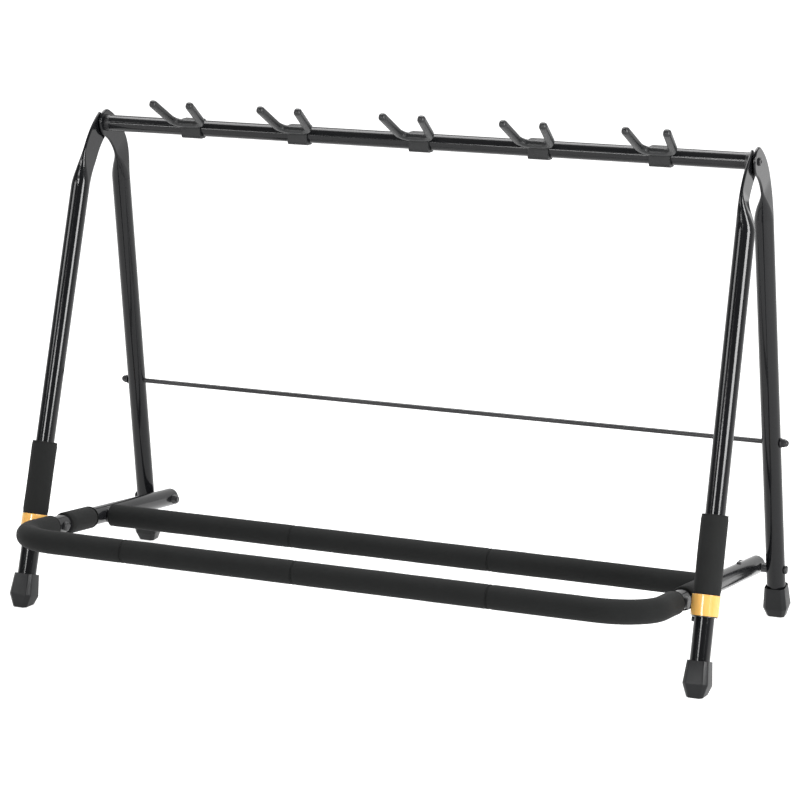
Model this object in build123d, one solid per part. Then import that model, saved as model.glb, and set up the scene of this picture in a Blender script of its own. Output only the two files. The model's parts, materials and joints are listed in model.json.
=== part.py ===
from build123d import *
import os
from math import cos, radians, sin, sqrt

# Folding floor rack for five guitars, standing open. Millimetres, +Z up, +X along the top rail,
# the guitars face -Y. The origin is on the floor, under the centre of the bounding box.
# The A-frames, the padded base and the top rail are mirrored about the YZ plane.

# --- driving dimensions ---------------------------------------------------------------------
TUBE_R = 12.7  # one inch steel tube: legs and base
TUBE_WALL = 1.2
RAIL_R = 11.0
RAIL_WALL = 1.2
FOAM_R = 15.6  # outside of the foam on the base bars

APEX_Y = 92.37  # rail axis, which is also the axis that the rear legs fold about
APEX_Z = 632.3
FOOT_X = 476.8  # leg centre lines at floor level
FRONT_LEG = {"foot_y": -230.0, "slope": 0.318, "splay": 0.0101}
REAR_LEG = {"foot_y": 137.0, "slope": -0.1563, "splay": 0.0208}
LEG_END_Z = 4.0  # cut end of each leg tube, inside its rubber foot
CRIMP_DROP = 84.0  # the round tube starts to be pressed flat this far below the apex
CRIMP_LENGTH = 53.0
BEND_DROP = 62.0  # the legs bend towards the apex from this far below it
TAB_WIDTH = 37.0  # a one inch tube pressed flat
TAB_T = 4.0
RAIL_END_X = 462.2  # outer face of the right rail end
TAB_STEP = 5.35  # on the left the rear tab lies inside the front one, so that rail end is nearer

FOOT_RINGS = ((-6, 9.2), (14.5, 16.4), (44, 13.9))  # height along the leg, half width
FOOT_CHAMFER = 0.32  # of the half width

ARM_X = 438.0  # base arms, inboard of the legs, at the front bar
ARM_SPLAY = 0.0125  # the arms spread towards the rear
BASE_TILT = 7.24  # degrees, the base rises towards the front
REAR_PIVOT_Y = 126.5  # base to rear leg pivot, behind the apex
REAR_PIVOT_Z = 67.2
COLLAR_V = 324.6  # distances forward of the rear pivot, along the tilted base
REAR_BAR_V = 193.3
FRONT_BAR_V = 451.9
ARM_END_V = -14.0
CORNER_R = 64.5
SLEEVE_V = (232.0, 307.0)
CORNER_FOAM_V = 341.6
RIVET_V = 66.6
FRONT_SEAMS_X = (-268.0, -25.0, 238.0)  # butt joints of the foam tubes
REAR_SEAMS_X = (-148.0, 140.0)
SEAM_GAP = 0.3

BOLT_R = 4.0
RUNNING = 0.05  # radial clearance where one part turns or slides on another
SIDE_GAP = 0.3  # clear space beside parts that move past each other
BRACE_R = 3.25
BRACE_Z = 247.8
BOLT_HEAD_R = 5.2

COLLAR_R = 17.4
COLLAR_TOP = 11.8
COLLAR_BOTTOM = 14.4
COLLAR_BOSS = 0.7  # the collar swells inwards by this much to meet the base arm
SLIDE_TUBE_R = 14.6
GRIP_R = 17.4
GRIP_TOP = 111.1  # along the leg, above the collar's centre

HANGER_X = (-322.0, -162.8, 12.8, 179.8, 344.0)
SADDLE_WIDTH = 28.0
SADDLE_HALF = 13.2
YOKE_R = 5.3
YOKE_CORE_R = 3.0
YOKE_HALF_BASE = 21.6
YOKE_HALF_TIP = 27.2
YOKE_LENGTH = 59.0
YOKE_BEND_R = 15.0
YOKE_FORWARD = 18.4  # yoke base line, in front of and above the rail axis
YOKE_UP = 7.8
YOKE_RISE = 31.5  # degrees


# --- shared helpers -------------------------------------------------------------------------
def mirrored(part):
    """The same part on the -X side."""
    return mirror(part, about=Plane.YZ)


def pair(part):
    """Two separate solids: the part and its mirror image."""
    return Compound(children=[*part.solids(), *mirrored(part).solids()])


def rod_x(x0, x1, y, z, r):
    """Cylinder along X."""
    start = Plane(origin=(x0, y, z), x_dir=(0, 1, 0), z_dir=(1, 0, 0))
    return extrude(start * Circle(r), amount=x1 - x0)


def ring_x(x0, x1, y, z, r_out, r_in):
    """Washer or sleeve along X."""
    return rod_x(x0, x1, y, z, r_out) - rod_x(x0 - 1, x1 + 1, y, z, r_in)


def dome_x(x, y, z, r, height, r_top):
    """Rounded bolt head that stands off the plane X = x, outwards."""
    head = rod_x(x, x + height, y, z, r)
    return fillet(head.edges().group_by(Axis.X)[-1], r_top)


def hex_x(x0, x1, y, z, across, r_hole):
    """Hexagon nut along X."""
    start = Plane(origin=(x0, y, z), x_dir=(0, 1, 0), z_dir=(1, 0, 0))
    nut = extrude(start * RegularPolygon(across / sqrt(3), 6), amount=x1 - x0)
    return nut - rod_x(x0 - 1, x1 + 1, y, z, r_hole) if r_hole else nut


# --- legs -----------------------------------------------------------------------------------
def leg_line(leg, z):
    """Point on a leg's straight centre line, on the +X side."""
    return Vector(FOOT_X - leg["splay"] * z, APEX_Y + leg["foot_y"] + leg["slope"] * z, z)


def leg_direction(leg):
    """Unit vector up along the leg."""
    return (leg_line(leg, 1) - leg_line(leg, 0)).normalized()


def tube_section(origin, x_dir, z_dir, width, thickness):
    """Cross-section of a tube pressed to the given thickness."""
    plane = Plane(origin=origin, x_dir=x_dir, z_dir=z_dir)
    return plane * RectangleRounded(width, thickness, thickness * 0.497)


def leg_bend(leg):
    """Centre line of a leg's upper end seen from the side: straight, then an arc to the apex."""
    low, high = (leg_line(leg, APEX_Z - drop) for drop in (CRIMP_DROP, BEND_DROP))
    straight = Line((0, low.Y, low.Z), (0, high.Y, high.Z))
    return Wire([straight, TangentArc((straight @ 1, (0, APEX_Y, APEX_Z)), tangent=straight % 1)])


CRIMP_STEPS = 7


def crimp_sections(leg, tab_x, inset, steps):
    """Sections of the tube as it is pressed flat, and moved sideways into the tab's plane."""
    path = leg_bend(leg)
    start_x = leg_line(leg, APEX_Z - CRIMP_DROP).X
    faces = []
    for step in range(steps + 1):
        share = step / CRIMP_STEPS
        ease = share * share * (3 - 2 * share)
        point, tangent = leg_station(path, share * CRIMP_LENGTH)
        point += Vector(start_x + (tab_x - start_x) * ease, 0, 0)
        width = 2 * TUBE_R + (TAB_WIDTH - 2 * TUBE_R) * ease - 2 * inset
        thickness = 2 * TUBE_R + (TAB_T - 2 * TUBE_R) * ease - 2 * inset
        faces.append(tube_section(point, Vector(0, tangent.Z, -tangent.Y), tangent, width, thickness))
    return faces


def leg_station(path, distance):
    """Point and direction at a distance along a path."""
    at = distance / path.length
    return path @ at, path % at


def leg_tab(leg, tab_x):
    """Flat end of a leg, carried on round the bend to the apex, with a round tip."""
    point, tangent = leg_station(leg_bend(leg), CRIMP_LENGTH)
    apex = Vector(tab_x, APEX_Y, APEX_Z)
    point += Vector(tab_x, 0, 0)
    bend = TangentArc((point, apex), tangent=tangent)
    across = Vector(0, tangent.Z, -tangent.Y)
    strip = sweep(tube_section(point, across, tangent, TAB_WIDTH, TAB_T), path=bend)
    tip = rod_x(tab_x - TAB_T / 2, tab_x + TAB_T / 2, APEX_Y, APEX_Z, TAB_WIDTH / 2)
    return strip + fillet(tip.edges(), TAB_T * 0.45)


def leg_tube(leg, tab_x, bolt_clearance):
    """Hollow leg on the +X side, from its foot to the tab on the apex bolt."""
    start = leg_line(leg, LEG_END_Z)
    along = Plane(origin=start, z_dir=leg_direction(leg))
    length = (leg_line(leg, APEX_Z - CRIMP_DROP) - start).length
    hole = rod_x(tab_x - 6, tab_x + 6, APEX_Y, APEX_Z, BOLT_R + bolt_clearance)
    tube = extrude(along * Circle(TUBE_R), amount=length)
    tube += loft(crimp_sections(leg, tab_x, 0, CRIMP_STEPS)) + (leg_tab(leg, tab_x) - hole)
    bore = extrude(along * Circle(TUBE_R - TUBE_WALL), amount=length)
    return tube - (bore + loft(crimp_sections(leg, tab_x, TUBE_WALL, CRIMP_STEPS - 2)))


def front_leg():
    return leg_tube(FRONT_LEG, FRONT_TAB_X, 0) - stop_stud()


def rear_leg(tab_x):
    """Rear leg, drilled across for the base pivot and for the brace rod."""
    leg = leg_tube(REAR_LEG, tab_x, RUNNING)
    leg -= rod_x(FOOT_X - 30, FOOT_X + 30, APEX_Y + REAR_PIVOT_Y, REAR_PIVOT_Z, BOLT_R)
    return leg - rod_x(FOOT_X - 30, FOOT_X + 30, brace_y(), BRACE_Z, BRACE_R)


def rubber_foot(leg):
    """Square foot with cut corners, widest below its middle, cut flat at the floor."""
    axis = leg_direction(leg)
    base = leg_line(leg, 0)
    rings = []
    for height, half in FOOT_RINGS:
        square = Rectangle(2 * half, 2 * half)
        square = chamfer(square.vertices(), FOOT_CHAMFER * half)
        rings.append(Plane(origin=base + axis * height, x_dir=(1, 0, 0), z_dir=axis) * square)
    block = loft(rings, ruled=True)
    block -= Pos(base.X, base.Y, -20) * Box(120, 120, 40)
    socket = Plane(origin=leg_line(leg, LEG_END_Z), z_dir=axis)
    return block - extrude(socket * Circle(TUBE_R), amount=60)


def stop_stud():
    """Screw that the slide tube rests on when the rack is open."""
    at = collar_centre() - leg_direction(FRONT_LEG) * (COLLAR_BOTTOM + 5.2)
    return rod_x(at.X - TUBE_R - 2.8, at.X - TUBE_R + 6, at.Y, at.Z, 3.2)


# --- top rail and apex ------------------------------------------------------------------------
# Right apex, from the inside: rail end, front tab, washer, rear tab, bolt head.
# Left apex: rail end, rear tab, washer, front tab, bolt head.
PLUG_FLANGE = 6.8
WASHER_T = 1.05
TAB_GAP = 0.15  # on both sides of a rear tab, which turns on the bolt
FRONT_TAB_X = RAIL_END_X + TAB_T / 2
REAR_TAB_X = RAIL_END_X + TAB_T + WASHER_T + TAB_GAP + TAB_T / 2
LEFT_REAR_TAB_X = RAIL_END_X - TAB_STEP + TAB_GAP + TAB_T / 2


def both_ends(part):
    """The part at the right rail end, and mirrored at the left one."""
    return Compound(children=[part, Pos(TAB_STEP, 0, 0) * mirrored(part)])


def top_rail():
    end = RAIL_END_X - PLUG_FLANGE
    return ring_x(TAB_STEP - end, end, APEX_Y, APEX_Z, RAIL_R, RAIL_R - RAIL_WALL)


def rail_end_plug():
    start = RAIL_END_X - PLUG_FLANGE
    flange = rod_x(start, RAIL_END_X, APEX_Y, APEX_Z, RAIL_R + 0.2)
    spigot = rod_x(start - 28, start, APEX_Y, APEX_Z, RAIL_R - RAIL_WALL)
    return flange + spigot - rod_x(start - 20, RAIL_END_X, APEX_Y, APEX_Z, BOLT_R)


def apex_washer(x):
    """Thin nylon washer between the front and rear leg tabs."""
    return ring_x(x, x + WASHER_T, APEX_Y, APEX_Z, 9.0, BOLT_R)


def apex_washers():
    left = LEFT_REAR_TAB_X + TAB_T / 2 + TAB_GAP
    return Compound(children=[apex_washer(RAIL_END_X + TAB_T), mirrored(apex_washer(left))])


def apex_bolt():
    """Shoulder bolt through both tabs, screwed into the rail plug, with a hexagon socket."""
    head_x = REAR_TAB_X + TAB_T / 2 + TAB_GAP
    shank = rod_x(RAIL_END_X - PLUG_FLANGE - 20, head_x, APEX_Y, APEX_Z, BOLT_R)
    head = dome_x(head_x, APEX_Y, APEX_Z, BOLT_HEAD_R, 2.4, 1.2)
    return shank + head - hex_x(head_x + 0.8, head_x + 3, APEX_Y, APEX_Z, 4.0, 0)


# --- brace rod between the rear legs ----------------------------------------------------------
def brace_y():
    return leg_line(REAR_LEG, BRACE_Z).Y


def brace_outer_x():
    """Outermost point of a rear leg at the brace rod."""
    return leg_line(REAR_LEG, BRACE_Z).X + TUBE_R + 0.15


def brace_rod():
    end = brace_outer_x() + 8
    return rod_x(-end, end, brace_y(), BRACE_Z, BRACE_R)


def brace_washer():
    x = brace_outer_x()
    return ring_x(x, x + 1.2, brace_y(), BRACE_Z, 6.5, BRACE_R)


def brace_cap_nut():
    """Closed acorn nut on the threaded end of the rod."""
    x = brace_outer_x() + 1.2
    nut = hex_x(x, x + 4.5, brace_y(), BRACE_Z, 10.0, 0.5)
    nut += dome_x(x, brace_y(), BRACE_Z, 4.7, 9.6, 4.2)
    return nut - rod_x(x - 1, x + 6.8, brace_y(), BRACE_Z, BRACE_R)


# --- base: bent tube, crossbar and foam --------------------------------------------------------
BASE = Plane(
    origin=(0, APEX_Y + REAR_PIVOT_Y, REAR_PIVOT_Z),
    x_dir=(-1, 0, 0),
    z_dir=(0, sin(radians(BASE_TILT)), cos(radians(BASE_TILT))),
)


def base_point(x, v):
    """World point on the base's centre plane: v is the distance forward of the rear pivot."""
    return BASE.from_local_coords(Vector(-x, v, 0))


def arm_x(v):
    return ARM_X + ARM_SPLAY * (FRONT_BAR_V - v)


def arm_plane(v, backwards=False):
    """Cross-section plane of the right arm at distance v, facing along the arm."""
    axis = (base_point(arm_x(1), 1) - base_point(arm_x(0), 0)).normalized()
    return Plane(origin=base_point(arm_x(v), v), x_dir=BASE.z_dir, z_dir=-axis if backwards else axis)


def base_tube_along(path, r_out, r_in):
    """Round tube swept along a path in the base's plane."""
    section = Plane(origin=path @ 0, z_dir=path % 0)
    return sweep(section * Circle(r_out), path=path) - sweep(section * Circle(r_in), path=path)


def u_path(v_end):
    """The base's bent centre line, from one arm round the front bar to the other arm."""
    end_x = arm_x(v_end)
    points = [(-end_x, v_end), (-ARM_X, FRONT_BAR_V), (ARM_X, FRONT_BAR_V), (end_x, v_end)]
    return FilletPolyline(*[base_point(x, v) for x, v in points], radius=CORNER_R)


def arm_bore(v, radius):
    """Cross hole through both arms at distance v."""
    at = base_point(0, v)
    return rod_x(arm_x(v) - 20, arm_x(v) + 20, at.Y, at.Z, radius)


def base_tube():
    tube = base_tube_along(u_path(ARM_END_V), TUBE_R, TUBE_R - TUBE_WALL)
    for hole in (arm_bore(0, BOLT_R + RUNNING), arm_bore(COLLAR_V, BOLT_R)):
        tube -= hole + mirrored(hole)
    return tube - arm_rivet()


def arm_solid(clearance):
    """The two arms as full round bars, to shape what meets them."""
    bar = extrude(arm_plane(ARM_END_V) * Circle(TUBE_R + clearance), amount=360)
    return bar + mirrored(bar)


def rear_crossbar():
    at = base_point(0, REAR_BAR_V)
    end = arm_x(REAR_BAR_V) - 4
    bar = ring_x(-end, end, at.Y, at.Z, RAIL_R, RAIL_R - RAIL_WALL)
    return (bar - arm_solid(0)).solids().sort_by(SortBy.VOLUME)[-1]


def arm_end_plug():
    """Rounded plastic plug in the open rear end of an arm."""
    face = arm_plane(ARM_END_V, backwards=True)
    cap = extrude(face * Circle(TUBE_R), amount=7.5)
    cap = fillet(cap.edges().filter_by(GeomType.CIRCLE).sort_by(Axis.Y)[-1], 6.5)
    cap += extrude(face * Circle(TUBE_R - TUBE_WALL), amount=-7)
    return cap - arm_bore(0, BOLT_R + 2)


def arm_rivet():
    """Domed rivet on top of the right arm."""
    top = Plane(origin=base_point(arm_x(RIVET_V), RIVET_V), z_dir=BASE.z_dir)
    shank = extrude(top * Circle(1.6), amount=TUBE_R)
    shank -= extrude(top * Circle(2), amount=TUBE_R - 3)
    head = extrude(top.offset(TUBE_R - 0.2) * Circle(3.3), amount=2.2)
    return shank + fillet(head.edges().sort_by(Axis.Z)[-1], 1.6)


def rear_bar_foam(x0, x1):
    """Foam tube on the rear crossbar, between two butt joints, coped to the arms at its ends."""
    at = base_point(0, REAR_BAR_V)
    return ring_x(x0, x1, at.Y, at.Z, FOAM_R, RAIL_R) - arm_solid(0)


def front_bar_foam(x0, x1):
    """Straight foam tube on the front bar."""
    at = base_point(0, FRONT_BAR_V)
    return ring_x(x0, x1, at.Y, at.Z, FOAM_R, TUBE_R)


def corner_foam(x_end):
    """Foam tube from a butt joint on the front bar, round the corner, to just before the collar."""
    side = 1 if x_end > 0 else -1
    arm_end = (side * arm_x(CORNER_FOAM_V), CORNER_FOAM_V)
    points = [(x_end, FRONT_BAR_V), (side * ARM_X, FRONT_BAR_V), arm_end]
    path = FilletPolyline(*[base_point(x, v) for x, v in points], radius=CORNER_R)
    return base_tube_along(path, FOAM_R, TUBE_R)


def arm_sleeve():
    """Short foam tube on an arm, behind the collar."""
    start = arm_plane(SLEEVE_V[0])
    length = SLEEVE_V[1] - SLEEVE_V[0]
    sleeve = extrude(start * Circle(FOAM_R), amount=length)
    sleeve = fillet(sleeve.edges().filter_by(GeomType.CIRCLE), 2.4)
    return sleeve - extrude(start.offset(-1) * Circle(TUBE_R), amount=length + 2)


# --- pivots of the base -------------------------------------------------------------------------
def rear_pivot_bolt():
    """Bolt through the rear leg, its spacer and the arm; the arm turns on it."""
    y, z = APEX_Y + REAR_PIVOT_Y, REAR_PIVOT_Z
    head_x = leg_line(REAR_LEG, z).X + TUBE_R + 0.3
    shank = rod_x(arm_x(0) - TUBE_R - 8.5, head_x, y, z, BOLT_R)
    return shank + dome_x(head_x, y, z, 5.8, 3.4, 2.4)


def rear_pivot_spacer():
    y, z = APEX_Y + REAR_PIVOT_Y, REAR_PIVOT_Z
    spacer = ring_x(arm_x(0) + TUBE_R + SIDE_GAP, FOOT_X - 5, y, z, 6.6, BOLT_R)
    bar = Plane(origin=leg_line(REAR_LEG, LEG_END_Z), z_dir=leg_direction(REAR_LEG))
    return spacer - extrude(bar * Circle(TUBE_R), amount=150)


def rear_pivot_nut():
    x = arm_x(0) - TUBE_R - SIDE_GAP
    return hex_x(x - 6.0, x, APEX_Y + REAR_PIVOT_Y, REAR_PIVOT_Z, 12.0, BOLT_R)


def collar_pivot_bolt():
    """Bolt through the arm in line with the collar, with a round head on the inner side."""
    at = base_point(0, COLLAR_V)
    inner, outer = arm_x(COLLAR_V) - TUBE_R - 0.2, arm_x(COLLAR_V) + TUBE_R + 1.9
    bolt = rod_x(inner, outer, at.Y, at.Z, BOLT_R)
    head = rod_x(inner - 4.2, inner, at.Y, at.Z, 6.6)
    return bolt + fillet(head.edges().group_by(Axis.X)[0], 2.6)


def collar_pivot_spacer():
    at = base_point(0, COLLAR_V)
    x = arm_x(COLLAR_V)
    return ring_x(x + 6, x + TUBE_R + 1.9, at.Y, at.Z, 8.0, BOLT_R) - arm_solid(0)


# --- sliding collars and grips --------------------------------------------------------------------
def collar_centre():
    """Where the base's centre plane crosses the front leg's centre line."""
    at = base_point(0, COLLAR_V)
    return leg_line(FRONT_LEG, at.Z)


def collar_plane():
    return Plane(origin=collar_centre(), x_dir=(-1, 0, 0), z_dir=leg_direction(FRONT_LEG))


def collar():
    """Gloss collar, swollen towards the arm, with a blind pivot socket in the swelling."""
    plane = collar_plane().offset(-COLLAR_BOTTOM)
    height = COLLAR_BOTTOM + COLLAR_TOP
    outline = make_hull((Circle(COLLAR_R) + Pos(COLLAR_BOSS + 4, 0) * Circle(COLLAR_R - 4)).edges())
    shell = extrude(plane * outline, amount=height)
    shell = fillet(shell.edges().group_by(Axis.Z)[-1], 0.6)
    shell -= extrude(plane * Circle(SLIDE_TUBE_R), amount=height + 1)
    at = base_point(0, COLLAR_V)
    face = collar_centre().X - COLLAR_R - COLLAR_BOSS
    return shell - rod_x(face - 1, face + 3.0, at.Y, at.Z, BOLT_R + 0.2)


def slide_tube():
    """Plastic tube that runs on the leg inside collar and grip, with a thin rim below the collar."""
    plane = collar_plane().offset(-COLLAR_BOTTOM)
    tube = extrude(plane * Circle(SLIDE_TUBE_R), amount=COLLAR_BOTTOM + GRIP_TOP)
    tube += extrude(plane.offset(-1.6) * Circle(COLLAR_R - 0.9), amount=1.6)
    return tube - extrude(plane.offset(-3) * Circle(TUBE_R + RUNNING), amount=GRIP_TOP + 30)


def grip():
    """Foam grip above the collar."""
    plane = collar_plane().offset(COLLAR_TOP)
    length = GRIP_TOP - COLLAR_TOP
    foam = extrude(plane * Circle(GRIP_R), amount=length)
    return foam - extrude(plane * Circle(SLIDE_TUBE_R), amount=length)


# --- neck hangers ---------------------------------------------------------------------------------
# Plane of a yoke: local x along the rail, local y forwards and up from the yoke's base line.
YOKE = Plane(
    origin=(0, APEX_Y - YOKE_FORWARD, APEX_Z + YOKE_UP),
    x_dir=(-1, 0, 0),
    z_dir=(0, sin(radians(YOKE_RISE)), cos(radians(YOKE_RISE))),
)


def yoke_bar(radius, tip):
    """U-shaped bar with ball ends; tip is how far short of the yoke's full length it stops."""
    points = [
        (-YOKE_HALF_TIP, YOKE_LENGTH - tip),
        (-YOKE_HALF_BASE, 0),
        (YOKE_HALF_BASE, 0),
        (YOKE_HALF_TIP, YOKE_LENGTH - tip),
    ]
    path = FilletPolyline(*[YOKE.from_local_coords(Vector(*p, 0)) for p in points], radius=YOKE_BEND_R)
    bar = sweep(Plane(origin=path @ 0, z_dir=path % 0) * Circle(radius), path=path)
    for end in (path @ 0, path @ 1):
        bar += Pos(end) * Sphere(radius)
    return bar


def yoke_cover():
    """Rubber tube over the steel yoke."""
    return yoke_bar(YOKE_R, 0) - yoke_bar(YOKE_CORE_R, 4)


def yoke_core():
    return yoke_bar(YOKE_CORE_R, 4)


def saddle():
    """Clip that wraps the front, top and bottom of the rail and cradles the yoke's base."""
    body = Pos(0, APEX_Y - 3.6, APEX_Z) * Box(SADDLE_WIDTH, 19.2, 2 * SADDLE_HALF)
    body = fillet(body.edges().filter_by(Axis.X), 4.5)
    body += Pos(0, APEX_Y - YOKE_FORWARD + 3, APEX_Z + YOKE_UP - 0.6) * Box(SADDLE_WIDTH, 7, 10)
    body -= rod_x(-30, 30, APEX_Y, APEX_Z, RAIL_R + RUNNING)
    return body - rod_x(-30, 30, APEX_Y - YOKE_FORWARD, APEX_Z + YOKE_UP, YOKE_R)


# --- nodes ------------------------------------------------------------------------------------------
def add_sided(nodes, name, part):
    """One node on each side."""
    nodes[name + "_right"] = part
    nodes[name + "_left"] = mirrored(part)


def front_frame():
    nodes = {"top_rail": top_rail(), "rail_end_plugs": both_ends(rail_end_plug())}
    nodes["apex_bolts"] = both_ends(apex_bolt())
    nodes["apex_washers"] = apex_washers()
    nodes["stop_studs"] = pair(stop_stud())
    add_sided(nodes, "front_leg", front_leg())
    add_sided(nodes, "front_foot", rubber_foot(FRONT_LEG))
    return nodes


def rear_frame():
    nodes = {"brace_rod": brace_rod(), "brace_washers": pair(brace_washer())}
    nodes["brace_cap_nuts"] = pair(brace_cap_nut())
    nodes["rear_pivot_bolts"] = pair(rear_pivot_bolt())
    nodes["rear_pivot_spacers"] = pair(rear_pivot_spacer())
    nodes["rear_pivot_nuts"] = pair(rear_pivot_nut())
    nodes["rear_leg_right"] = rear_leg(REAR_TAB_X)
    nodes["rear_leg_left"] = mirrored(rear_leg(LEFT_REAR_TAB_X))
    add_sided(nodes, "rear_foot", rubber_foot(REAR_LEG))
    return nodes


def base_frame():
    nodes = {"base_tube": base_tube(), "rear_crossbar": rear_crossbar()}
    nodes["arm_end_plugs"] = pair(arm_end_plug())
    nodes["arm_rivet"] = arm_rivet()
    nodes["collar_pivot_bolts"] = pair(collar_pivot_bolt())
    nodes["collar_pivot_spacers"] = pair(collar_pivot_spacer())
    nodes["arm_sleeves"] = pair(arm_sleeve())
    half = SEAM_GAP / 2
    left, middle, right = FRONT_SEAMS_X
    nodes["front_foam_corner_left"] = corner_foam(left - half)
    nodes["front_foam_left"] = front_bar_foam(left + half, middle - half)
    nodes["front_foam_right"] = front_bar_foam(middle + half, right - half)
    nodes["front_foam_corner_right"] = corner_foam(right + half)
    end = arm_x(REAR_BAR_V) - 5
    nodes["rear_foam_left"] = rear_bar_foam(-end, REAR_SEAMS_X[0] - half)
    nodes["rear_foam_middle"] = rear_bar_foam(REAR_SEAMS_X[0] + half, REAR_SEAMS_X[1] - half)
    nodes["rear_foam_right"] = rear_bar_foam(REAR_SEAMS_X[1] + half, end)
    return nodes


def collars():
    nodes = {}
    add_sided(nodes, "collar", collar())
    add_sided(nodes, "slide_tube", slide_tube())
    add_sided(nodes, "grip", grip())
    return nodes


def hangers():
    nodes = {}
    kinds = {"saddle": saddle(), "yoke_cover": yoke_cover(), "yoke_core": yoke_core()}
    for number, x in enumerate(HANGER_X, start=1):
        for kind, part in kinds.items():
            nodes[f"{kind}_{number}"] = Pos(x, 0, 0) * part
    return nodes


def build():
    return {**front_frame(), **rear_frame(), **base_frame(), **collars(), **hangers()}


if __name__ == "__main__":
    os.makedirs("parts", exist_ok=True)
    for node, shape in build().items():
        export_step(shape, f"parts/{node}.step")
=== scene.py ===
import json
import math

import bmesh
import bpy
from mathutils import Matrix, Vector, noise


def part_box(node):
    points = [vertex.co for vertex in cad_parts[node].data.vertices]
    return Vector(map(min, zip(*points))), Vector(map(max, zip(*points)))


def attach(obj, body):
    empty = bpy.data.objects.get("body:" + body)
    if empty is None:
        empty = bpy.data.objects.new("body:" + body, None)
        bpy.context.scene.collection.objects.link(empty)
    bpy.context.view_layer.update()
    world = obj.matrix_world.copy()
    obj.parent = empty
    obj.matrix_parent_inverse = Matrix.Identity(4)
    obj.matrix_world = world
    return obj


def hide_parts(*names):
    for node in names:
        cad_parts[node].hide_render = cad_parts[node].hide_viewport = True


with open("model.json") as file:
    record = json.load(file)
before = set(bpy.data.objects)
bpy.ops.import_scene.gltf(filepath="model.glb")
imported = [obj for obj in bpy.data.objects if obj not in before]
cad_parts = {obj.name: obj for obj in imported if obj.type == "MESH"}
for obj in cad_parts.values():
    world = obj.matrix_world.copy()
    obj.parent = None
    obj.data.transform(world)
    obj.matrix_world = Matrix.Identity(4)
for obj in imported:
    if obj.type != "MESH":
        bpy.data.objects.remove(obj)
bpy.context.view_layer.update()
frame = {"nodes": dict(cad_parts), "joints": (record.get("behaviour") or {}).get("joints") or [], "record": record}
NODES = frame["nodes"]
JOINTS = {joint["name"]: joint for joint in frame["joints"]}
SIDES = (("left", -1), ("right", 1))

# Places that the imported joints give.
APEX = Vector(JOINTS["fold"]["pos_m"])
REAR_PIVOT = Vector(JOINTS["base_pivot"]["pos_m"])
LEG_AXIS = {
    side: Vector(JOINTS[f"collar_slide_{side}"]["axis"]).normalized() for side, _ in SIDES
}

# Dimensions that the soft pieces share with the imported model, in metres.
TUBE_R = 0.0127
CROSSBAR_R = 0.011
FOAM_R = 0.0156
FOAM_CLEARANCE = 0.0001

# The base: v is the distance forward of the rear pivot, along its centre plane. Arms stand at
# ARM_X at the front bar and spread by ARM_SPLAY towards the back.
BASE_TILT = math.radians(7.24)
ARM_X = 0.438
ARM_SPLAY = 0.0125
CORNER_R = 0.0645
REAR_BAR_V = 0.1933
FRONT_BAR_V = 0.4519
CORNER_FOAM_V = 0.3416
SLEEVE_V = (0.232, 0.307)
HALF_SEAM = 0.00015
FRONT_SEAMS_X = (-0.268, -0.025, 0.238)
REAR_SEAMS_X = (-0.148, 0.140)
REAR_FOAM_INSET = 0.0155

# The right collar's centre, from the point on the floor below the apex, and the grip along the
# leg above it.
COLLAR_CENTRE = (0.475708, -0.195622, 0.108108)
GRIP_SPAN = (0.0119, 0.1111)
GRIP_BORE_R = 0.0147
GRIP_R = 0.0174

# The feet: height up the leg and half width of each ring, and how far its corners are cut.
FOOT_RINGS = ((-0.006, 0.0092), (0.0145, 0.0164), (0.044, 0.0139))
FOOT_CHAMFER = 0.32
FOOT_X = 0.4768
# For each pair of legs: the feet's distance behind the apex, below zero in front of it, and the
# inward and backward run of the centre lines for each metre of height.
LEGS = {"front": (-0.230, 0.0101, 0.318), "rear": (0.137, 0.0208, -0.1563)}

# The yokes: centre line, half thickness, and how far their base stands in front of and above
# the rail's axis.
YOKE_RISE = math.radians(31.5)
YOKE_HALF_BASE = 0.0216
YOKE_HALF_TIP = 0.0272
YOKE_LENGTH = 0.059
YOKE_BEND = 0.015
YOKE_R = 0.0053
YOKE_FORWARD = 0.0184
YOKE_UP = 0.0078

# The foam's unevenness and the creases in its bends, and the yokes' rounded square section.
SWELL_DEPTH, SWELL_FREQUENCY = 0.00022, 26
DIMPLE_DEPTH, DIMPLE_FREQUENCY = 0.00008, 7
CREASE_DEPTH, CREASE_PITCH = 0.0005, 0.0105
YOKE_SQUARENESS = 2.7
YOKE_FILL = 0.985
YOKE_TIP_FLAT = 0.06

# The camera, placed from the point on the floor below the apex.
CAMERA_LENS = 128.7
CAMERA_ROLL = math.radians(0.15)
CAMERA_EYE = (1.4481, -3.4600, 1.1451)
CAMERA_TARGET = (-0.0033, -0.0346, 0.2888)

# Softboxes: name, centre, target, width, height, surface brightness.
SOFTBOXES = (
    ("key_right", (2.8, -1.25, 1.45), (0.2, 0, 0.45), 1.25, 1.5, 24),
    ("strip_left", (-4.4, -4.1, 2.75), (0, 0, 0.4), 2.3, 1.4, 9),
    ("overhead", (-0.3, 0.75, 2.3), (0, 0, 0.4), 2.6, 1.1, 7.5),
    ("front_low", (-1.35, -5.2, 0.95), (0, 0, 0.5), 1.2, 0.5, 18),
    ("front_left", (-2.9, -4.9, 0.95), (0, 0, 0.5), 0.7, 0.5, 15),
    ("front_mid", (-0.6, -5.2, 1.95), (0, 0, 0.3), 1.2, 0.75, 23),
)


# --- node helpers ---------------------------------------------------------------------------
def map_range(nodes, low, high, start=0.0, stop=1.0):
    """A Map Range node from start..stop to low..high."""
    node = nodes.new("ShaderNodeMapRange")
    limits = {"From Min": start, "From Max": stop, "To Min": low, "To Max": high}
    for socket, number in limits.items():
        node.inputs[socket].default_value = number
    return node


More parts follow.
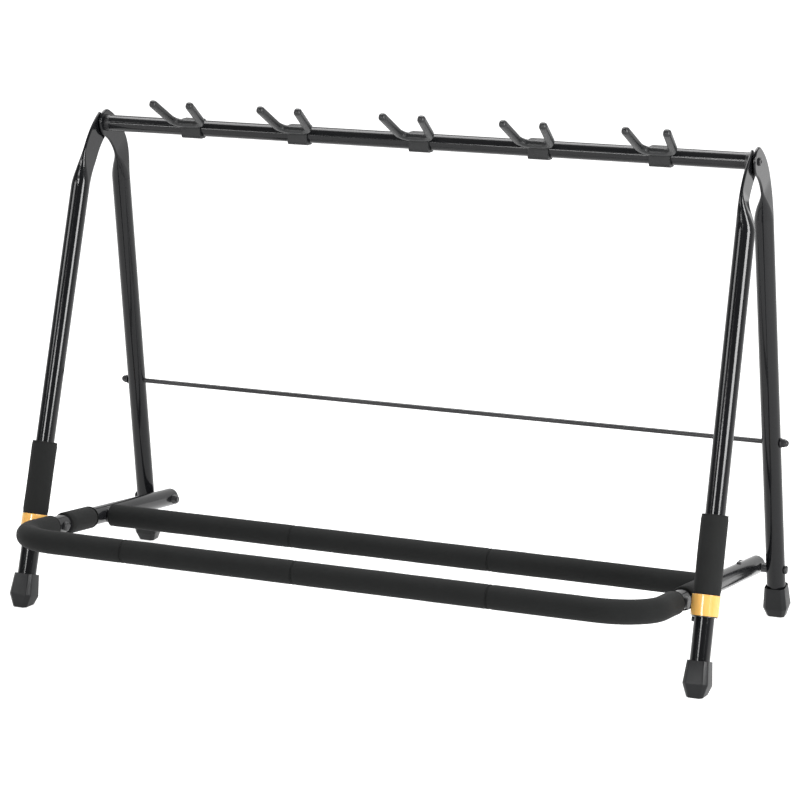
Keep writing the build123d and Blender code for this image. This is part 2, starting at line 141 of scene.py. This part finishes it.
class Tree:
    """A material's node tree, with short calls for the nodes used below."""

    def __init__(self, name):
        self.material = bpy.data.materials.new(name)
        self.material.use_nodes = True
        self.nodes = self.material.node_tree.nodes
        self.links = self.material.node_tree.links
        self.bsdf = self.nodes["Principled BSDF"]
        self.coords = self.nodes.new("ShaderNodeTexCoord").outputs["Object"]

    def stretched(self, scale):
        mapping = self.nodes.new("ShaderNodeMapping")
        mapping.inputs["Scale"].default_value = scale
        self.links.new(self.coords, mapping.inputs["Vector"])
        return mapping.outputs["Vector"]

    def noise(self, scale, detail, rough=0.5, vector=None):
        node = self.nodes.new("ShaderNodeTexNoise")
        node.inputs["Scale"].default_value = scale
        node.inputs["Detail"].default_value = detail
        node.inputs["Roughness"].default_value = rough
        self.links.new(vector or self.coords, node.inputs["Vector"])
        return node.outputs["Fac"]

    def cells(self, scale):
        node = self.nodes.new("ShaderNodeTexVoronoi")
        node.inputs["Scale"].default_value = scale
        self.links.new(self.coords, node.inputs["Vector"])
        return node.outputs["Distance"]

    def ranged(self, value, low, high, start=0.0, stop=1.0):
        node = map_range(self.nodes, low, high, start, stop)
        self.links.new(value, node.inputs["Value"])
        return node.outputs["Result"]

    def ramp(self, value, *stops):
        node = self.nodes.new("ShaderNodeValToRGB")
        ramp = node.color_ramp
        while len(ramp.elements) < len(stops):
            ramp.elements.new(0.5)
        for element, (at, color) in zip(ramp.elements, stops):
            element.position = at
            element.color = (*color, 1)
        self.links.new(value, node.inputs["Fac"])
        return node.outputs["Color"]

    def mix(self, fac, a, b):
        node = self.nodes.new("ShaderNodeMix")
        node.data_type = "RGBA"
        self.links.new(fac, node.inputs[0])
        self.links.new(a, node.inputs[6])
        self.links.new(b, node.inputs[7])
        return node.outputs[2]

    def bump(self, height, strength, distance, below=None):
        node = self.nodes.new("ShaderNodeBump")
        node.inputs["Strength"].default_value = strength
        node.inputs["Distance"].default_value = distance
        self.links.new(height, node.inputs["Height"])
        if below:
            self.links.new(below, node.inputs["Normal"])
        return node.outputs["Normal"]

    def finish(self, color, rough, normal, **fixed):
        self.links.new(color, self.bsdf.inputs["Base Color"])
        self.links.new(rough, self.bsdf.inputs["Roughness"])
        self.links.new(normal, self.bsdf.inputs["Normal"])
        self.set(**fixed)
        return self.material

    def set(self, **fixed):
        for socket, value in fixed.items():
            self.bsdf.inputs[socket.replace("_", " ")].default_value = value


def scaled(color, k):
    """The colour made k times as bright."""
    return tuple(min(1.0, c * k) for c in color)


# --- materials ------------------------------------------------------------------------------
ENAMEL_IOR = 1.345


def enamel(name, color, rough, peel=0.05):
    """Baked gloss paint: faint orange peel, drifting tone and roughness, and a few dust specks."""
    t = Tree(name)
    drift = t.noise(scale=7, detail=4)
    specks = t.noise(scale=900, detail=2, rough=0.6)
    base = t.ramp(drift, (0.3, scaled(color, 0.75)), (0.7, scaled(color, 1.25)))
    dusty = t.ramp(specks, (0.0, scaled(color, 2.2)), (1.0, scaled(color, 3.0)))
    tone = t.mix(t.ranged(specks, 0, 0.35, start=0.66, stop=0.74), base, dusty)
    gloss = t.ranged(t.noise(scale=25, detail=5, rough=0.6), rough * 0.8, rough * 1.25)
    peeled = t.bump(t.noise(scale=330, detail=2, rough=0.4), strength=peel, distance=0.0004)
    return t.finish(tone, gloss, peeled, IOR=ENAMEL_IOR, Coat_Weight=0.0)


def foam(name, color):
    """Closed-cell foam rubber: fine skin of cells, mottled, nearly without gloss."""
    t = Tree(name)
    skin = t.noise(scale=1300, detail=4, rough=0.65)
    mottle = t.noise(scale=38, detail=5, rough=0.6)
    light = t.ramp(mottle, (0.3, scaled(color, 0.8)), (0.7, scaled(color, 1.2)))
    grain = t.ramp(skin, (0.35, scaled(color, 0.55)), (0.7, scaled(color, 1.9)))
    share = t.ranged(t.noise(scale=420, detail=3, rough=0.6), 0.25, 0.6)
    tone = t.mix(share, light, grain)
    rough = t.ranged(skin, 0.78, 0.98)
    pores = t.bump(t.cells(1500), strength=0.35, distance=0.0004)
    uneven = t.noise(scale=120, detail=4, rough=0.6)
    normal = t.bump(uneven, strength=0.18, distance=0.0012, below=pores)
    return t.finish(
        tone, rough, normal, Specular_IOR_Level=0.2, Sheen_Weight=0.02, Sheen_Roughness=0.5
    )


def moulded(name, color, rough, grain=900, depth=0.3, tone_span=0.18, specular=0.42):
    """Moulded rubber or plastic: fine spark-eroded texture with painted sheen on its raised points, slightly
    uneven tone.
    """
    t = Tree(name)
    drift = t.noise(scale=60, detail=4)
    fine = t.noise(scale=grain, detail=4, rough=0.6)
    tone = t.ramp(drift, (0.3, scaled(color, 1 - tone_span)), (0.7, scaled(color, 1 + tone_span)))
    # Painted sheen: the raised points of the fine texture are painted lighter, where they would catch the light.
    painted_sheen = t.ramp(fine, (0.3, scaled(color, 0.85)), (0.75, scaled(color, 1.35)))
    tone = t.mix(t.ranged(fine, 0.0, 0.5, start=0.4, stop=0.7), tone, painted_sheen)
    gloss = t.ranged(t.noise(scale=160, detail=4, rough=0.6), rough * 0.85, rough * 1.15)
    eroded = t.bump(fine, strength=depth, distance=0.0003)
    return t.finish(tone, gloss, eroded, Specular_IOR_Level=specular)


def gloss_plastic(name, color, rough):
    """Coloured injection-moulded plastic with paler and darker vertical streaks painted round the collar: painted
    highlights and painted shade.
    """
    t = Tree(name)
    # Painted highlights and painted shade: vertical streaks, paler and darker than the collar's own yellow.
    painted_streaks = t.noise(scale=1, detail=3, vector=t.stretched((110, 110, 16)))
    highlight_tint = tuple(min(1, c * k) for c, k in zip(color, (1.03, 1.06, 1.25)))
    tone = t.ramp(painted_streaks, (0.25, scaled(color, 0.94)), (0.55, color), (0.85, highlight_tint))
    gloss = t.ranged(t.noise(scale=90, detail=4, rough=0.6), rough * 0.8, rough * 1.3)
    rippled = t.bump(t.noise(scale=420, detail=2, rough=0.4), strength=0.06, distance=0.0004)
    return t.finish(
        tone, gloss, rippled, IOR=1.5, Subsurface_Weight=0.15, Subsurface_Scale=0.002
    )


MATERIALS = {
    "leg_enamel": enamel("leg_enamel", (0.0042, 0.0044, 0.0050), 0.11),
    "base_enamel": enamel("base_enamel", (0.0075, 0.0077, 0.0084), 0.16),
    "rail_enamel": enamel("rail_enamel", (0.0075, 0.0077, 0.0084), 0.12),
    "bar_foam": foam("bar_foam", (0.0044, 0.0048, 0.0047)),
    "grip_foam": foam("grip_foam", (0.0072, 0.0075, 0.0074)),
    "yellow_plastic": gloss_plastic("yellow_plastic", (0.60, 0.335, 0.090), 0.12),
    "black_plastic": moulded("black_plastic", (0.012, 0.012, 0.0125), 0.3),
    "foot_rubber": moulded(
        "foot_rubber", (0.0060, 0.0064, 0.0069), 0.38, grain=700, specular=0.22
    ),
    "saddle_plastic": moulded(
        "saddle_plastic", (0.0095, 0.0098, 0.0103), 0.45, grain=800, specular=0.26
    ),
    "yoke_rubber": moulded(
        "yoke_rubber", (0.0085, 0.0090, 0.0096), 0.4, grain=520, depth=0.5, tone_span=0.25,
        specular=0.36,
    ),
    "core_steel": moulded("core_steel", (0.3, 0.3, 0.31), 0.35),
    "plug_plastic": moulded("plug_plastic", (0.018, 0.018, 0.019), 0.38),
    "washer_nylon": moulded("washer_nylon", (0.03, 0.03, 0.03), 0.45),
    "black_hardware": enamel("black_hardware", (0.02, 0.02, 0.021), 0.3, peel=0.1),
}

for row in frame["record"]["subparts"]:
    node = NODES[row["node"]]
    node.data.materials.clear()
    node.data.materials.append(MATERIALS[row["material_slot"]])


# --- mesh helpers ---------------------------------------------------------------------------
def link(name, data):
    """A new object in the scene that holds this data."""
    obj = bpy.data.objects.new(name, data)
    bpy.context.scene.collection.objects.link(obj)
    return obj


def piece(name, bm, slot, body, *replaced, smooth):
    """Turns a bmesh, in the shared frame, into a finished piece on its body."""
    bmesh.ops.recalc_face_normals(bm, faces=bm.faces)
    mesh = bpy.data.meshes.new(name)
    bm.to_mesh(mesh)
    bm.free()
    obj = link(name, mesh)
    mesh.shade_smooth()
    mesh.set_sharp_from_angle(angle=math.radians(smooth))
    mesh.materials.append(MATERIALS[slot])
    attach(obj, body)
    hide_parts(*replaced)
    return obj


def skin_rings(rings, closed=False):
    """Quads between successive rings of points; closed joins the last ring to the first."""
    bm = bmesh.new()
    rows = [[bm.verts.new(p) for p in ring] for ring in rings]
    count = len(rows[0])
    pairs = list(zip(rows, rows[1:]))
    if closed:
        pairs.append((rows[-1], rows[0]))
    for a, b in pairs:
        for i in range(count):
            j = (i + 1) % count
            bm.faces.new((a[i], a[j], b[j], b[i]))
    if not closed:
        bm.faces.new(rows[0][::-1])
        bm.faces.new(rows[-1])
    return bm


def base_point(x, v):
    """Point on the base's centre plane, v forward of the rear pivot."""
    return Vector((
        x,
        REAR_PIVOT.y - v * math.cos(BASE_TILT),
        REAR_PIVOT.z + v * math.sin(BASE_TILT),
    ))


BASE_UP = Vector((0, math.sin(BASE_TILT), math.cos(BASE_TILT)))
BASE_FORWARD = Vector((0, -math.cos(BASE_TILT), math.sin(BASE_TILT)))


def arm_x(v):
    """How far an arm's centre line stands from the middle of the base."""
    return ARM_X + ARM_SPLAY * (FRONT_BAR_V - v)


class Line:
    """Straight centre line."""

    def __init__(self, start, end, up):
        self.start, self.length = start, (end - start).length
        self.tangent = (end - start).normalized()
        self.up = (up - self.tangent * up.dot(self.tangent)).normalized()

    def at(self, s):
        """(point, side vector, up vector, share of the bend's creases) at distance s."""
        return self.start + self.tangent * s, self.tangent.cross(self.up), self.up, 0.0


class Elbow:
    """Line, bend, line, in the base's plane: along the front bar and back up an arm."""

    def __init__(self, x_start, side):
        self.start, self.out = base_point(x_start, FRONT_BAR_V), Vector((side, 0, 0))
        lean = math.atan(ARM_SPLAY)
        self.turn = math.pi / 2 - lean
        reach = CORNER_R * math.tan(self.turn / 2)
        self.run = ARM_X - reach - side * x_start
        self.arc = CORNER_R * self.turn
        self.length = self.run + self.arc
        self.length += (FRONT_BAR_V - CORNER_FOAM_V) / math.cos(lean) - reach

    def at(self, s):
        """The same four values as Line.at; the creases are deepest half-way round the bend."""
        turn = min(max((s - self.run) / CORNER_R, 0.0), self.turn)
        radial = BASE_FORWARD * math.cos(turn) + self.out * math.sin(turn)
        tangent = self.out * math.cos(turn) - BASE_FORWARD * math.sin(turn)
        straight = min(s, self.run)
        tail = max(0.0, s - self.run - self.arc)
        point = self.start + self.out * straight + (radial - BASE_FORWARD) * CORNER_R + tangent * tail
        crease = math.sin(math.pi * turn / self.turn) ** 2
        return point, tangent.cross(BASE_UP), BASE_UP, crease


def foam_stations(length, r_in, r_out, rounding):
    """(distance, radius) round the wall of a foam tube: cut end, outside, cut end, bore."""
    lip_steps, outside_step, bore_steps = 4, 0.005, 12
    turns = [k / lip_steps * math.pi / 2 for k in range(lip_steps, -1, -1)]
    lip = [(rounding * (1 - math.sin(a)), r_out - rounding * (1 - math.cos(a))) for a in turns]
    span = length - 2 * rounding
    count = max(4, int(span / outside_step))
    outside = [(rounding + span * k / count, r_out) for k in range(1, count)]
    far = [(length - s, r) for s, r in reversed(lip)]
    bore = [(length * k / bore_steps, r_in) for k in range(bore_steps, -1, -1)]
    return lip[::-1] + outside + far[::-1] + bore


def foam_tube(name, path, body, node, slot, r_in, seed, r_out=FOAM_R, rounding=0.0006,
              inner_side=1):
    """Foam tube on a path: a closed skin, gently uneven, creased on the inside of a bend."""
    around = 56
    rings = []
    for s, r in foam_stations(path.length, r_in, r_out, rounding):
        point, side, up, crease = path.at(s)
        ring = []
        for i in range(around):
            a = 2 * math.pi * i / around
            direction = side * math.cos(a) + up * math.sin(a)
            radius = r
            if r > r_in:
                where = (point + direction * r) * SWELL_FREQUENCY + Vector((seed, 0, 0))
                radius -= SWELL_DEPTH * (0.5 + noise.noise(where))
                radius -= DIMPLE_DEPTH * (1 + noise.noise(where * DIMPLE_FREQUENCY))
                inside = max(0.0, inner_side * math.cos(a))
                wave = 0.5 + 0.5 * math.cos(s * 2 * math.pi / CREASE_PITCH)
                radius -= CREASE_DEPTH * crease * inside * wave
            ring.append(point + direction * radius)
        rings.append(ring)
    obj = piece(name, skin_rings(rings, closed=True), slot, body, node, smooth=35)


# --- foam on the base -----------------------------------------------------------------------
TUBE_BORE_R = TUBE_R + FOAM_CLEARANCE
for (side, sign), x in zip(SIDES, (FRONT_SEAMS_X[0], FRONT_SEAMS_X[2])):
    foam_tube(
        f"foam_corner_{side}", Elbow(x + sign * HALF_SEAM, sign), "base_frame",
        f"front_foam_corner_{side}", "bar_foam", TUBE_BORE_R, seed=3.0 * sign, rounding=0.0008,
        inner_side=-sign,
    )

for side, (x0, x1), seed in (("left", FRONT_SEAMS_X[:2], 11), ("right", FRONT_SEAMS_X[1:], 17)):
    ends = [base_point(x, FRONT_BAR_V) for x in (x0 + HALF_SEAM, x1 - HALF_SEAM)]
    foam_tube(f"foam_front_{side}", Line(*ends, BASE_UP), "base_frame", f"front_foam_{side}",
              "bar_foam", TUBE_BORE_R, seed=seed)

REAR_END = arm_x(REAR_BAR_V) - REAR_FOAM_INSET
for side, x0, x1, seed in (
    ("left", -REAR_END, REAR_SEAMS_X[0] - HALF_SEAM, 23),
    ("middle", REAR_SEAMS_X[0] + HALF_SEAM, REAR_SEAMS_X[1] - HALF_SEAM, 29),
    ("right", REAR_SEAMS_X[1] + HALF_SEAM, REAR_END, 31),
):
    ends = [base_point(x, REAR_BAR_V) for x in (x0, x1)]
    foam_tube(f"foam_rear_{side}", Line(*ends, BASE_UP), "base_frame", f"rear_foam_{side}",
              "bar_foam", CROSSBAR_R + FOAM_CLEARANCE, seed=seed)

for side, sign in SIDES:
    ends = [base_point(sign * arm_x(v), v) for v in SLEEVE_V]
    foam_tube(f"foam_sleeve_{side}", Line(*ends, BASE_UP), "base_frame", "arm_sleeves",
              "bar_foam", TUBE_BORE_R, seed=41 * sign, rounding=0.0026)

# --- grips above the collars ----------------------------------------------------------------
for side, sign in SIDES:
    x, y, z = COLLAR_CENTRE
    centre = Vector((sign * x, APEX.y + y, z))
    ends = [centre + LEG_AXIS[side] * s for s in GRIP_SPAN]
    foam_tube(f"grip_foam_{side}", Line(*ends, Vector((0, -1, 0))), f"collar_{side}",
              f"grip_{side}", "grip_foam", GRIP_BORE_R, seed=53 * sign, r_out=GRIP_R,
              rounding=0.0007)


# --- rubber feet ----------------------------------------------------------------------------
def foot(name, node, body, centre, axis):
    """Square rubber foot with cut corners, softened edges and a lip round the tube."""
    lip_width, lip_depth = 0.0008, 0.003
    softening, sharp_angle = 0.0011, 0.25
    x_dir = (Vector((1, 0, 0)) - axis * axis.x).normalized()
    y_dir = axis.cross(x_dir)
    rings = []
    for height, half in FOOT_RINGS:
        flat = half * (1 - FOOT_CHAMFER)
        corners = [(half, -flat), (half, flat), (flat, half), (-flat, half)]
        corners += [(-x, -y) for x, y in corners]
        rings.append([centre + axis * height + x_dir * x + y_dir * y for x, y in corners])
    bm = skin_rings(rings)
    floor_cut = bmesh.ops.bisect_plane(
        bm, geom=bm.verts[:] + bm.edges[:] + bm.faces[:], plane_co=(0, 0, 0), plane_no=(0, 0, 1),
        clear_inner=True,
    )
    rim = [e for e in floor_cut["geom_cut"] if isinstance(e, bmesh.types.BMEdge)]
    bmesh.ops.contextual_create(bm, geom=rim)
    top = max(bm.faces, key=lambda f: f.calc_center_median().z)
    bmesh.ops.inset_region(bm, faces=[top], thickness=lip_width)
    bmesh.ops.translate(bm, verts=top.verts, vec=-axis * lip_depth)
    sharp = [e for e in bm.edges if len(e.link_faces) == 2 and e.calc_face_angle() > sharp_angle]
    bmesh.ops.bevel(
        bm, geom=sharp, offset=softening, segments=3, profile=0.6, affect="EDGES",
        clamp_overlap=True,
    )
    piece(name, bm, "foot_rubber", body, node, smooth=28)


for leg, (behind, inward, backward) in LEGS.items():
    for side, sign in SIDES:
        centre = Vector((sign * FOOT_X, APEX.y + behind, 0))
        axis = Vector((-sign * inward, backward, 1)).normalized()
        foot(f"{leg}_foot_rubber_{side}", f"{leg}_foot_{side}", f"{leg}_frame", centre, axis)


# --- yokes ----------------------------------------------------------------------------------
def yoke_line():
    """Points along a yoke's centre line, in its own plane, from tip to tip."""
    arm_steps, bend_steps, base_steps = 9, 12, 4
    lean = Vector((YOKE_HALF_TIP - YOKE_HALF_BASE, YOKE_LENGTH)).normalized()
    turn = math.pi / 2 - math.atan2(YOKE_HALF_TIP - YOKE_HALF_BASE, YOKE_LENGTH)
    reach = YOKE_BEND * math.tan(turn / 2)
    corner = Vector((YOKE_HALF_BASE, 0))
    tip = YOKE_LENGTH / lean.y
    centre = Vector((YOKE_HALF_BASE - reach, YOKE_BEND))
    line = [corner + lean * (tip + (reach - tip) * k / arm_steps) for k in range(arm_steps)]
    for k in range(bend_steps):
        a = -math.pi / 2 + turn * (1 - k / bend_steps)
        line.append(centre + Vector((math.cos(a), math.sin(a))) * YOKE_BEND)
    line += [Vector((centre.x * (1 - k / base_steps), 0)) for k in range(base_steps)]
    mirrored = [Vector((-p.x, p.y)) for p in reversed(line)]
    return line + [Vector((0, 0))] + mirrored


def yoke_ring(origin, point, tangent, scale):
    """Rounded square across a yoke's centre line."""
    around = 32
    up = Vector((0, math.sin(YOKE_RISE), math.cos(YOKE_RISE)))
    forward = Vector((0, -math.cos(YOKE_RISE), math.sin(YOKE_RISE)))
    across = Vector((tangent.y, -tangent.x))
    ring = []
    for i in range(around):
        a = 2 * math.pi * i / around
        c, s = math.cos(a), math.sin(a)
        square = (abs(c) ** YOKE_SQUARENESS + abs(s) ** YOKE_SQUARENESS) ** (-1 / YOKE_SQUARENESS)
        r = YOKE_R * scale * square * YOKE_FILL
        spot = point + across * (r * c)
        ring.append(origin + Vector((1, 0, 0)) * spot.x + forward * spot.y + up * (r * s))
    return ring


def yoke(number, x):
    """Rubber-covered yoke: soft square section and domed tips."""
    dome_steps = 8
    origin = Vector((x, APEX.y - YOKE_FORWARD, APEX.z + YOKE_UP))
    line = yoke_line()
    ends = [line[0], *line, line[-1]]
    tangents = [(after - before).normalized() for before, after in zip(ends, ends[2:])]
    dome = [k / dome_steps * math.pi / 2 for k in range(dome_steps)]
    stations = [
        (line[0] - tangents[0] * YOKE_R * math.cos(a), tangents[0], max(YOKE_TIP_FLAT, math.sin(a)))
        for a in dome
    ]
    stations += [(point, tangent, 1.0) for point, tangent in zip(line, tangents)]
    stations += [
        (line[-1] + tangents[-1] * YOKE_R * math.cos(a), tangents[-1], max(YOKE_TIP_FLAT, math.sin(a)))
        for a in reversed(dome)
    ]
    rings = [yoke_ring(origin, *station) for station in stations]
    piece(f"yoke_rubber_{number}", skin_rings(rings), "yoke_rubber", f"hanger_{number}",
          f"yoke_cover_{number}", smooth=60)


for number in range(1, 6):
    low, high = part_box(f"saddle_{number}")
    yoke(number, (low.x + high.x) / 2)


# --- stage ----------------------------------------------------------------------------------
def lay_floor():
    """Wide pale floor whose own glow fades with distance from the rack."""
    bm = bmesh.new()
    bmesh.ops.create_grid(bm, x_segments=2, y_segments=2, size=40)
    mesh = bpy.data.meshes.new("floor")
    bm.to_mesh(mesh)
    bm.free()
    link("floor", mesh)
    t = Tree("floor")
    gradient = t.nodes.new("ShaderNodeTexGradient")
    gradient.gradient_type = "SPHERICAL"
    t.links.new(t.stretched((0.4, 0.4, 0.4)), gradient.inputs["Vector"])
    t.set(Base_Color=(0.42, 0.42, 0.42, 1), Roughness=0.9, Specular_IOR_Level=0.0,
          Emission_Color=(1, 1, 1, 1))
    glow = t.ranged(gradient.outputs["Fac"], 1.02, 0.74)
    t.links.new(glow, t.bsdf.inputs["Emission Strength"])
    mesh.materials.append(t.material)


def build_world():
    """Pale behind the rack, a darker room in front of it, plain white to the camera."""
    world = bpy.data.worlds.new("studio")
    bpy.context.scene.world = world
    world.use_nodes = True
    nodes, links = world.node_tree.nodes, world.node_tree.links
    split = nodes.new("ShaderNodeSeparateXYZ")
    links.new(nodes.new("ShaderNodeTexCoord").outputs["Generated"], split.inputs[0])
    room = map_range(nodes, 0.16, 0.95, start=-0.35, stop=0.25)
    links.new(split.outputs["Y"], room.inputs["Value"])
    pick = nodes.new("ShaderNodeMix")
    links.new(nodes.new("ShaderNodeLightPath").outputs["Is Camera Ray"], pick.inputs[0])
    links.new(room.outputs["Result"], pick.inputs[2])
    pick.inputs[3].default_value = 1.0
    background = nodes["Background"]
    links.new(pick.outputs[0], background.inputs["Strength"])
    background.inputs["Color"].default_value = (1, 1, 1, 1)


def softbox(name, centre, target, width, height, radiance):
    """Rectangular studio light of a given surface brightness."""
    light = bpy.data.lights.new(name, "AREA")
    light.shape = "RECTANGLE"
    light.size, light.size_y = width, height
    light.energy = radiance * math.pi * width * height
    obj = link(name, light)
    obj.location = centre
    obj.rotation_mode = "QUATERNION"
    obj.rotation_quaternion = (Vector(target) - Vector(centre)).to_track_quat("-Z", "Y")
    obj.visible_camera = False


def place_camera():
    camera = link("camera", bpy.data.cameras.new("camera"))
    bpy.context.scene.camera = camera
    camera.data.sensor_width = 36
    camera.data.lens = CAMERA_LENS
    camera.data.clip_end = 100
    below_apex = Vector((0, APEX.y, 0))
    eye = below_apex + Vector(CAMERA_EYE)
    target = below_apex + Vector(CAMERA_TARGET)
    camera.location = eye
    camera.rotation_mode = "QUATERNION"
    roll = Matrix.Rotation(CAMERA_ROLL, 4, "Z").to_quaternion()
    camera.rotation_quaternion = (target - eye).to_track_quat("-Z", "Y") @ roll


lay_floor()
build_world()
for row in SOFTBOXES:
    softbox(*row)
place_camera()
bpy.context.scene.view_settings.view_transform = "Standard"
